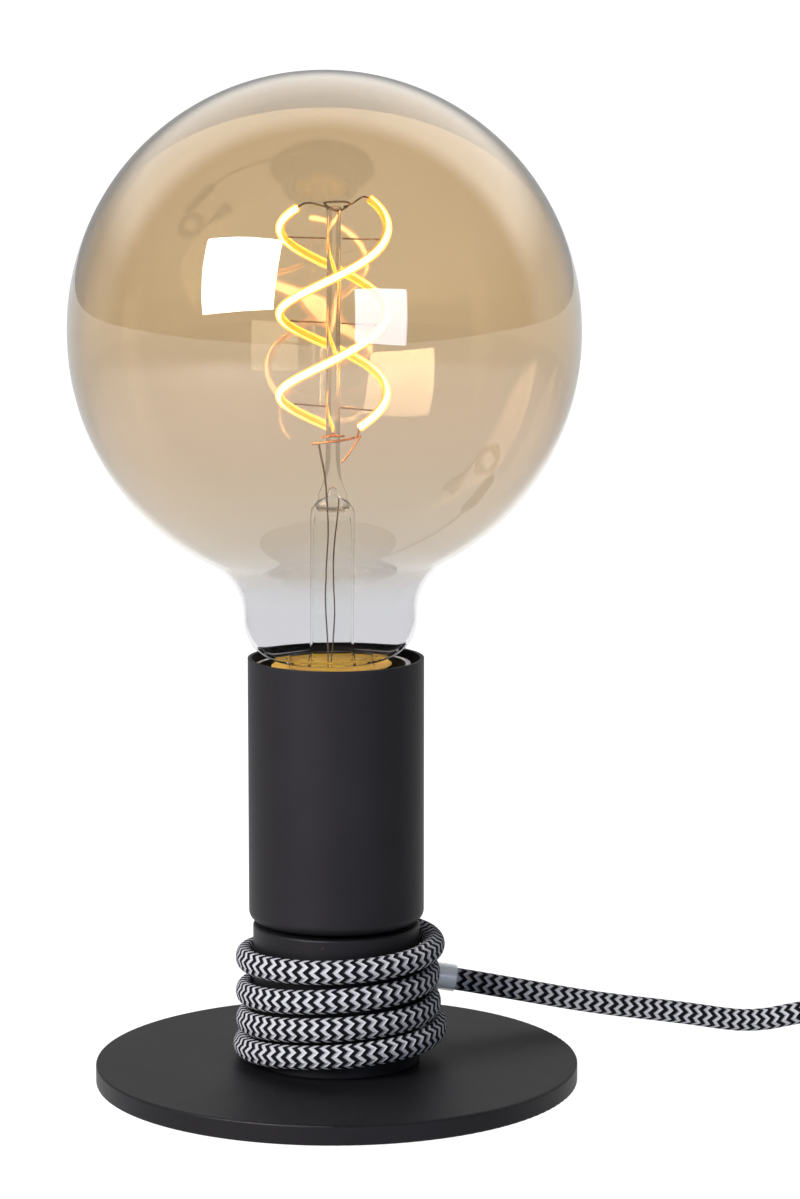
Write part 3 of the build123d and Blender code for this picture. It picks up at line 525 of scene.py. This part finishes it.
def make_tie(paint):
    """Flat strap drawn tight round the turns of the coil, with its loose end on top."""
    low, high = COIL_LOW, COIL_LOW + COIL_STEP
    across = COIL_CENTRE[0] + COIL_RADIUS
    inner, middle, outer = (across + COIL_STEP * part for part in TIE_TURNS)
    slant = atan2(COIL_STEP / 2, COIL_STEP) * 180 / pi
    hug = TIE_REACH
    over = hug + TIE_LIFT
    loop = [(middle, low - hug)]
    loop += arc((outer, low), hug, -90, 0, 8)
    loop += arc((outer, high), hug, 0, 90, 8)
    loop += arc((middle, high), hug, 90, 90 + slant, 4)
    loop += arc((inner, (low + high) / 2), hug, 90 + slant, 270 - slant, 10)
    loop += arc((middle, low), hug, 270 - slant, 270, 4)
    tail = arc((outer, high), over, 20, 90, 8)
    tail += [(outer - 3, high + over), (middle, high + over + 0.05)]
    for name, route in (("tie_loop", loop), ("tie_end", tail)):
        path = []
        for x, z in route:
            point = Vector((x, COIL_CENTRE[1], z)) * MM
            if not path or (point - path[-1]).length > 1e-6:
                path.append(point)
        section = evenly(TIE_WIDE, TIE_THICK)
        strap = sweep(name, path, section, sides=32, sharp=50, up=Vector((0, 1, 0)), boxy=0.3)
        dress(strap, paint)
        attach(strap, "lamp")
        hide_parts("coil_tie")
        yield strap


def make_relief(paint, bottom):
    """Ribbed strain relief between the cord and the plug."""
    start, end, wide, narrow, bore = 175.0, 200.0, 4.9, 3.7, 2.9
    rib_pitch, ribs = 3.6, 6
    groove = ((2.6, 0.0), (2.9, 0.75), (3.9, 0.75), (4.2, 0.0))
    outline = [(bore, start), (wide, start)]
    for rib in range(ribs):
        for offset, depth in groove:
            x = start + rib * rib_pitch + offset
            outline.append((wide + (narrow - wide) * (x - start) / (end - start) - depth, x))
    outline += [(narrow + 0.1, end - 0.5), (narrow - 0.3, end), (bore, end)]
    lying = Matrix.Rotation(radians(90), 4, "Y")
    place = Matrix.Translation(Vector((0, bottom, PLUG_HEIGHT)) * MM) @ lying
    relief = lathe("relief_ribs", outline, segments=48, sharp=30, place=place)
    dress(relief, paint)
    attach(relief, "lamp")
    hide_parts("plug_relief")
    return relief


def make_coiled_cord(paint, rubber):
    points = list(FROM_SWITCH)
    half = COIL_TURNS / 2
    for step in range(1, round(COIL_TURNS * STEPS)):
        turn = step / STEPS
        away = turn - half
        radius = COIL_RADIUS + COIL_STEP * (abs(away) - half / 2)
        height = COIL_LOW + COIL_STEP * smooth((away + COIL_CLIMB / 2) / COIL_CLIMB)
        x, y, _ = polar(90 - 360 * turn, radius * OUTSIDE, 0)
        points.append((COIL_CENTRE[0] + x, COIL_CENTRE[1] + y, height))
    bottom = COIL_CENTRE[1] - COIL_RADIUS - COIL_STEP * half / 2
    points += [(x, bottom, height) for x, height in TO_PLUG]
    path = read_spline(points, 4)
    cord = sweep("cord_coiled", path, evenly(COIL_CORD), sides=24, pitch=BRAID_PITCH)
    dress(cord, paint)
    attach(cord, "lamp")
    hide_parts("cord_coil")
    on_it = [*make_tie(rubber), make_relief(rubber, bottom), nodes["plug_body"], nodes["plug_pins"]]
    round(length_of(path), 3)


# Bulb heights and sizes in mm, as in the solids
BULB_TOP = 250.09
CAP_TOP = 104.49
GLOBE_RADIUS = 62.5
NECK_RADIUS = 21.3
STUB_RADIUS = 11.2
STUB_DEPTH = 5.5
GLASS_WALL = 0.9
# Straight lengths: between the globe's halves, from the cap to the shoulder, and along the neck
GLOBE_BAND = 1.3
SHOULDER_GAP = 1.8
NECK_STRAIGHT = 1.0


def glass_profile(inset):
    """Outline of the bulb's glass from the crown to the stub inside the cap."""
    full, neck, stub = GLOBE_RADIUS, NECK_RADIUS, STUB_RADIUS
    upper = BULB_TOP - full
    lower = upper - GLOBE_BAND
    corner = neck - stub
    shoulder = CAP_TOP + SHOULDER_GAP + corner
    waist = shoulder + NECK_STRAIGHT
    blend = ((lower - waist) ** 2 - full**2 + neck**2) / (2 * (full - neck))
    tilt = atan2(lower - waist, neck + blend) * 180 / pi
    outline = arc((0, upper), full - inset, 90, 0, 40)
    outline[0] = (0.0, BULB_TOP - inset)
    outline += arc((0, lower), full - inset, 0, -tilt, 34)
    outline += arc((neck + blend, waist), blend + inset, 180 - tilt, 180, 14)
    outline += arc((stub, shoulder), corner - inset, 0, -90, 14)
    if inset:
        outline.append((stub - inset, shoulder - corner + inset))
    outline.append((stub - inset, CAP_TOP - STUB_DEPTH))
    return outline


# Tint of the glass between two heights, from the clear neck up to the amber of the crown
TINT_LOW, TINT_HIGH = 118 * MM, 190 * MM
TINT_WANDER = 6 * MM
NECK_TO_CROWN = (
    (0.05, (0.745, 0.745, 0.760)),
    (0.10, (0.722, 0.713, 0.713)),
    (0.18, (0.686, 0.646, 0.598)),
    (0.33, (0.716, 0.652, 0.562)),
    (0.50, (0.717, 0.634, 0.534)),
    (0.66, (0.724, 0.620, 0.504)),
    (0.82, (0.722, 0.612, 0.470)),
    (1.0, (0.782, 0.658, 0.483)),
)

# Refraction and coat: height where the change starts, height where it ends, and both values
GLASS_IOR = (107.1 * MM, 185 * MM, 1.02, 1.46)
GLASS_COAT = (160 * MM, 205 * MM, 0.0, 1.0)


def make_globe():
    outline = glass_profile(0.0) + glass_profile(GLASS_WALL)[::-1]
    globe = lathe("globe_glass", outline, segments=192, sharp=60)
    glass = {"Transmission_Weight": 1.0, "IOR": 1.46, "Specular_IOR_Level": 0.9, "Coat_IOR": 1.62}
    paint = Paint("amber_glass", (0.85, 0.62, 0.30), 0.0, **glass)
    # The tint's height wanders a little round the bulb
    cloud = paint.math("MULTIPLY_ADD", paint.noise(14.0, 2.0), TINT_WANDER, -TINT_WANDER / 2)
    level = paint.math("ADD", paint.split(paint.place())[2], cloud)
    fade = paint.span(level, 0.0, 1.0, TINT_LOW, TINT_HIGH)
    paint.drive("Base Color", paint.ramp(fade, *NECK_TO_CROWN))
    # Thin and bedded in the cap at the foot, thicker and glossier towards the crown
    paint.by_height("IOR", *GLASS_IOR)
    paint.by_height("Coat Weight", *GLASS_COAT)
    dress(globe, paint)
    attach(globe, "bulb")
    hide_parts("bulb_globe")


# Stem of the bulb, as (radius, height): outside from the foot up, then inside from the dome down
STEM_OUTLINE = [
    (6.4, CAP_TOP + 0.4), (5.8, CAP_TOP + 1.4), (5.4, CAP_TOP + 4.0), (5.4, CAP_TOP + 10), (5.4, 138.0),
    (5.5, 141.5), (5.2, 143.6), (4.0, 145.2), (3.4, 146.2), (3.6, 147.2), (2.9, 148.6), (2.2, 150.4),
    (1.9, 152.5), (1.75, 156.0), (1.7, 200.0), (1.7, 215.6), (1.9, 216.4), (1.9, 217.0), (1.4, 217.3),
    (0.0, 217.4),
    (0.0, 143.2), (2.6, 142.9), (4.5, 141.4), (4.9, 138.5), (4.9, CAP_TOP + 10), (4.9, CAP_TOP + 4.0),
    (5.3, CAP_TOP + 1.4), (5.9, CAP_TOP + 0.4),
]
# Flat pinch of glass that holds the wires
PINCH_OUTLINE = [
    (0.0, 149.0), (0.9, 148.6), (1.3, 147.4), (2.0, 146.4), (3.6, 145.6), (4.4, 144.4), (3.8, 143.2),
    (2.0, 142.8), (0.0, 142.6),
]
PINCH_FLAT = Matrix.Diagonal((1.0, 0.4, 1.0, 1.0))


def make_stem(glass, pinch_glass):
    pieces = (
        ("stem_glass", STEM_OUTLINE, STEM, glass),
        ("stem_pinch", PINCH_OUTLINE, STEM @ PINCH_FLAT, pinch_glass),
    )
    for name, outline, place, paint in pieces:
        piece = lathe(name, outline, segments=64, sharp=70, place=place)
        dress(piece, paint)
        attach(piece, "bulb")
        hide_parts("bulb_stem")


FILAMENT_TOP = 216.59
FILAMENT_START = 48.0
FILAMENT_PITCH = 39.0
FILAMENT_RADIUS = 13.0
FILAMENT_STEPS = 120
CORE_RADIUS, COAT_RADIUS = 0.72, 1.1
# Each filament: name, angle, turns, and how far it strays from an even spiral at each quarter turn
FILAMENTS = (
    ("filament_left", 180, 1.395, (0.7, 0.0, -0.1, -0.6, -1.3, -1.0, -0.8)),
    ("filament_right", 0, 1.30, (2.0, -0.4, -1.0, -0.5, 0.0, -0.8, -1.6)),
)


def filament_point(turn, phase, stray):
    angle = radians(FILAMENT_START + phase) - 2 * pi * turn
    height = FILAMENT_TOP - FILAMENT_PITCH * turn + eased(stray, 4 * turn)
    return Vector((FILAMENT_RADIUS * cos(angle), FILAMENT_RADIUS * sin(angle), height)) * MM


def glow_paint(name, colour, inward, outward, low, high):
    """Glowing coat whose outer face is brighter than the face towards the bulb's middle."""
    paint = Paint(name, colour, 0.5)
    x, y, _ = paint.split(paint.place())
    flat = paint.node("ShaderNodeCombineXYZ", [("X", x), ("Y", y)]).outputs[0]
    away = paint.node("ShaderNodeVectorMath", [(0, flat)], operation="NORMALIZE").outputs[0]
    faces = [(0, away), (1, paint.normal())]
    outer = paint.node("ShaderNodeVectorMath", faces, operation="DOT_PRODUCT").outputs["Value"]
    share = paint.math("MULTIPLY_ADD", outer, 0.5, 0.5)
    beads = paint.math("MULTIPLY_ADD", paint.noise(900.0, 2.0), 0.2, -0.1)
    share = paint.math("ADD", share, beads)
    paint.drive("Emission Color", paint.ramp(share, (0.35, inward), (0.65, outward)))
    paint.drive("Emission Strength", paint.span(share, low, high, 0.3, 0.7))
    return paint


def make_filaments():
    core = glow_paint("filament_core", (0.8, 0.55, 0.25), (1.0, 0.54, 0.10), (1.0, 0.80, 0.42), 2.1, 130.0)
    coat = glow_paint("filament_coat", (0.7, 0.36, 0.07), (1.0, 0.30, 0.02), (1.0, 0.36, 0.03), 0.9, 1.7)
    coat.set("Alpha", 0.65)
    for name, phase, turns, stray in FILAMENTS:
        places = [turns * step / FILAMENT_STEPS for step in range(FILAMENT_STEPS + 1)]
        path = [STEM @ filament_point(place, phase, stray) for place in places]
        bead = sweep(name + "_core", path, evenly(CORE_RADIUS), sides=16)
        sleeve = sweep(name + "_coat", path, evenly(COAT_RADIUS), sides=20)
        dress(bead, core)
        dress(sleeve, coat)
        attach(bead, "bulb")
        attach(sleeve, "bulb")
        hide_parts(name)


# Routes of the bulb's thin wires in mm, before the lean: name, thickness, points
TOP_WIRES = (
    ("left", 0.45, (
        (-8.7, -9.7, 217.3), (-7.2, -8.2, 218.6), (-4.8, -5.4, 218.3), (-2.4, -2.2, 217.4),
        (-0.2, -0.6, 216.8),
    )),
    ("right", 0.45, (
        (8.7, 9.7, 218.6), (7.4, 8.2, 219.6), (5.6, 5.6, 218.6), (4.2, 2.8, 217.6), (2.4, 0.6, 217.2),
    )),
    ("loop", 0.5, (
        (-2.4, 0.2, 218.2), (0.6, -0.4, 218.6), (4.2, 0.4, 218.2), (3.2, 0.2, 217.2), (1.4, -0.9, 216.2),
        (-0.4, -1.6, 216.4), (-1.8, -1.0, 217.4), (-2.4, 0.2, 218.2),
    )),
)
BOTTOM_WIRES = (
    ("bar", 0.6, (
        (-5.0, -2.4, 159.8), (-2.4, -3.0, 160.2), (1.4, -3.2, 160.6), (4.6, -2.8, 161.2), (6.8, -2.2, 161.8),
    )),
    ("tail", 0.5, ((6.6, -2.4, 161.6), (5.0, -3.2, 159.2), (3.4, -3.6, 156.8), (2.2, -3.6, 155.4))),
    ("ring", 0.5, (
        (-2.4, -2.0, 161.4), (0.0, -2.6, 161.8), (2.6, -2.0, 161.6), (2.8, 1.2, 161.4), (0.0, 2.4, 161.4),
        (-2.8, 1.2, 161.2), (-2.4, -2.0, 161.4),
    )),
    ("link", 0.5, ((6.5, -11.3, 164.9), (6.3, -8.6, 162.9), (6.0, -5.4, 161.9), (5.6, -2.6, 161.4))),
    ("back", 0.5, ((1.0, 13.0, 161.3), (0.6, 9.0, 161.2), (-0.2, 5.0, 161.5), (-1.2, 2.2, 161.4))),
)
STEM_WIRES = (
    ("high", 0.5, (
        (-3.4, -2.8, 159.9), (-2.9, -2.6, 157.0), (-2.0, -2.4, 153.0), (-1.5, -2.0, 148.0),
        (-1.2, -1.6, 143.0),
    )),
    ("left", 0.36, (
        (-1.2, -1.6, 143.0), (-0.9, -1.5, 138.0), (-1.4, -1.3, 131.0), (-1.7, -1.2, 124.0),
        (-1.5, -1.2, 117.0), (-1.0, -1.1, 111.0), (-0.9, -1.4, 105.0),
    )),
    ("right", 0.36, (
        (1.6, -1.4, 146.5), (1.2, -1.5, 141.0), (0.4, -1.4, 135.0), (0.2, -1.2, 127.0), (0.7, -1.2, 119.0),
        (0.4, -1.0, 112.0), (-0.2, -1.4, 105.0),
    )),
)
# A direction that none of these wires runs along
ACROSS_WIRES = Vector((0.3, 0.2, 0.93)).cross(Vector((1, 0, 0))).normalized()


def make_wires(group, routes, paint, node):
    for name, thick, route in routes:
        path = [STEM @ point for point in read_spline(route, 8)]
        piece = sweep(f"{group}_{name}", path, evenly(thick / 2), sides=10, up=ACROSS_WIRES)
        dress(piece, paint)
        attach(piece, "bulb")
        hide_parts(node)


# Bright gold lining of the cap, close under the glass, which shows through the neck
LINING_TOP, LINING_UNDER = CAP_TOP + 0.25, CAP_TOP + 0.05
LIP_OUTLINE = [
    (10.0, LINING_TOP), (13.8, CAP_TOP + 0.3), (14.6, CAP_TOP + 0.7), (14.8, CAP_TOP + 0.55),
    (14.0, LINING_UNDER), (10.0, LINING_UNDER),
]
DISH_OUTLINE = [(0.0, LINING_TOP), (10.0, LINING_TOP), (10.0, LINING_UNDER), (0.0, LINING_UNDER)]


def make_cap_lining(paint):
    for name, outline in (("cap_lip", LIP_OUTLINE), ("cap_dish", DISH_OUTLINE)):
        piece = lathe(name, outline, segments=96)
        dress(piece, paint)
        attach(piece, "bulb")


# Surroundings: brightness from front to back, from left to right, and from the horizon up,
# each as direction, start and end of the change, brightness at the start and at the end
SURROUNDINGS = ((1, 0.18, 0.44, 0.12, 1.04), (0, -1.0, 1.0, 0.95, 1.25), (2, 0.18, 0.48, 0.34, 1.0))


def make_surroundings():
    world = bpy.data.worlds.new("studio")
    world.use_nodes = True
    scene.world = world
    tree = world.node_tree
    background = tree.nodes["Background"]
    background.inputs["Color"].default_value = (1, 1, 1, 1)
    place = tree.nodes.new("ShaderNodeTexCoord")
    parts = tree.nodes.new("ShaderNodeSeparateXYZ")
    tree.links.new(place.outputs["Generated"], parts.inputs[0])
    brightness = background.inputs["Strength"]
    for axis, *span in SURROUNDINGS:
        fade = tree.nodes.new("ShaderNodeMapRange")
        fade.interpolation_type = "SMOOTHSTEP"
        for socket, value in zip(("From Min", "From Max", "To Min", "To Max"), span):
            fade.inputs[socket].default_value = value
        tree.links.new(parts.outputs[axis], fade.inputs["Value"])
        product = tree.nodes.new("ShaderNodeMath")
        product.operation = "MULTIPLY"
        product.inputs[1].default_value = 1.0
        tree.links.new(fade.outputs[0], product.inputs[0])
        tree.links.new(product.outputs[0], brightness)
        brightness = product.inputs[1]


# Floor: corners in metres, and the white part of it, which fades to light grey
FLOOR_CORNERS = ((-60, -6), (60, -6), (60, 160), (-60, 160))
FLOOR_WHITE, FLOOR_GREY = 1.0, 0.58
FLOOR_MIDDLE = 0.016
STRIP_HALF, STRIP_SPREAD, STRIP_FADE = 0.10, 0.1005, 0.16
FRONT_MIDDLE, FRONT_DEEP, FRONT_WIDE, FRONT_FADE = 0.40, 0.38, 0.7, 0.60


def make_floor():
    floor = add_mesh("floor", [Vector((x, y, 0)) for x, y in FLOOR_CORNERS], [(0, 1, 2, 3)])
    paint = Paint("floor", grey(0.10), 0.8, Emission_Color=(1, 1, 1, 1))
    x, y, _ = paint.split(paint.place())
    aside = paint.math("ABSOLUTE", paint.math("SUBTRACT", x, FLOOR_MIDDLE))
    # A strip behind the object that widens with distance, and a broad sheet in front
    strip = paint.math("SUBTRACT", aside, paint.math("MULTIPLY_ADD", y, STRIP_SPREAD, STRIP_HALF))
    strip = paint.math("MAXIMUM", strip, paint.math("MULTIPLY", y, -1.0))
    front = paint.math("ABSOLUTE", paint.math("ADD", y, FRONT_MIDDLE))
    front = paint.math("SUBTRACT", front, FRONT_DEEP)
    front = paint.math("MAXIMUM", front, paint.math("SUBTRACT", aside, FRONT_WIDE))
    lit = [
        paint.span(outside, FLOOR_WHITE, FLOOR_GREY, 0.0, fade, smooth=True)
        for outside, fade in ((strip, STRIP_FADE), (front, FRONT_FADE))
    ]
    paint.drive("Emission Strength", paint.math("MAXIMUM", *lit))
    dress(floor, paint)


# Lights round the globe: name, direction, distance, sides, power, turn in degrees, colour
GLOBE_MIDDLE = Vector((0, 0, 187)) * MM
LIGHTS = (
    ("key", (-0.575, -0.690, 0.437), 1.3, (0.76, 0.70), 50.0, 9.0, (1.0, 1.0, 1.0)),
    ("fill", (0.426, -0.888, 0.172), 1.5, (0.60, 0.60), 7.2, -4.0, (0.66, 0.78, 1.0)),
)


def make_lights():
    for name, way, distance, sides, power, turn, colour in LIGHTS:
        lamp = bpy.data.lights.new(name, "AREA")
        lamp.shape = "RECTANGLE"
        lamp.size, lamp.size_y = sides
        lamp.energy = power
        lamp.color = colour
        holder = bpy.data.objects.new(name, lamp)
        holder.location = GLOBE_MIDDLE + Vector(way) * distance
        facing = (-Vector(way)).to_track_quat("-Z", "Y").to_matrix().to_4x4()
        holder.rotation_euler = (facing @ Matrix.Rotation(radians(turn), 4, "Z")).to_euler()
        scene.collection.objects.link(holder)


make_camera()
braid = braid_paint()
make_wound_cord(braid)
rubber = coated_black("black_rubber", 0.016, 0.026, 0.6, 0.75, 1200.0, 0.2)
make_coiled_cord(braid, rubber)

clear_glass = flecked(
    "clear_glass", (0.97, 0.975, 0.97), (0.99, 0.995, 0.99), 0.0, 0.01, 90.0,
    Transmission_Weight=1.0, IOR=1.05,
)
clear_glass.by_height("IOR", low=150 * MM, high=157 * MM, below=1.028, above=1.3)
make_globe()
pinch_glass = flecked(
    "pinch_glass", (0.90, 0.89, 0.87), (0.98, 0.98, 0.97), 0.0, 0.06, 500.0,
    Transmission_Weight=1.0, IOR=1.4,
)
make_stem(clear_glass, pinch_glass)
make_filaments()

copper = flecked("copper_wire", (0.52, 0.25, 0.11), (0.74, 0.40, 0.20), 0.25, 0.5, 700.0, 0.9)
dark_wire = flecked("dark_wire", (0.16, 0.12, 0.10), (0.28, 0.22, 0.18), 0.3, 0.55, 700.0, 0.6)
make_wires("top_wire", TOP_WIRES, dark_wire, "filament_top_hub")
make_wires("bottom_wire", BOTTOM_WIRES, copper, "filament_bottom_hub")
make_wires("stem_wire", STEM_WIRES, dark_wire, "lead_wires")
dress_nodes(dark_wire, "support_wires")

powder = coated_black("black_powder", 0.002, 0.005, 0.42, 0.54, 1500.0, 0.35)
satin = coated_black("black_satin", 0.003, 0.007, 0.45, 0.55, 2600.0, 0.18)
plastic = coated_black("black_plastic", 0.014, 0.024, 0.40, 0.55, 1900.0, 0.2)
moulded = coated_black("switch_plastic", 0.012, 0.020, 0.22, 0.34, 900.0, 0.08)
dress_nodes(powder, "base_disc", "cord_drum")
dress_nodes(satin, "lamp_tube")
dress_nodes(plastic, "cord_bush", "cord_anchor", "spacer_ring", "holder_cap", "driver_capacitor")
dress_nodes(skirt_paint(), "holder_skirt")
dress_nodes(moulded, "switch_base", "switch_cover", "switch_rocker", "plug_body")

brass = flecked("gold_brass", (0.66, 0.43, 0.13), (0.84, 0.60, 0.24), 0.14, 0.34, 300.0, 1.0)
dress_nodes(brass, "screw_shell", "holder_terminals", "centre_contact", "switch_terminals", "switch_contact")
steel = flecked("zinc_steel", grey(0.48), grey(0.66), 0.25, 0.45, 500.0, 1.0, (1, 1, 6))
dress_nodes(
    steel, "base_screws", "drum_foot", "threaded_nipple", "nipple_nut", "lock_washer", "seat_washer",
    "terminal_screws", "cap_contact", "switch_screws",
)
gold = flecked(
    "gold_cap", (0.92, 0.52, 0.02), (1.0, 0.62, 0.05), 0.25, 0.45, 260.0, 0.4, Specular_IOR_Level=0.2
)
dress_nodes(gold, "bulb_cap")
make_cap_lining(gold)

dress_nodes(flecked("clear_plastic", grey(0.80), grey(0.92), 0.08, 0.25, 400.0, Alpha=0.55), "clear_sleeve")
dress_nodes(felt_paint(), "base_pad")
dress_nodes(
    flecked("white_ceramic", (0.70, 0.68, 0.63), (0.84, 0.83, 0.79), 0.12, 0.3, 500.0), "holder_core"
)
dress_nodes(flecked("wire_brown", (0.14, 0.06, 0.025), (0.24, 0.11, 0.05), 0.3, 0.5, 800.0), "live_wire")
dress_nodes(flecked("wire_blue", (0.02, 0.09, 0.30), (0.05, 0.17, 0.45), 0.3, 0.5, 800.0), "neutral_wire")
dress_nodes(flecked("black_glass", grey(0.008), grey(0.025), 0.05, 0.2, 400.0), "cap_insulator")
dress_nodes(board_paint(), "led_driver")
dress_nodes(pin_paint(), "plug_pins")

make_surroundings()
make_floor()
make_lights()
scene.view_settings.view_transform = "Standard"
scene.view_settings.look = "None"
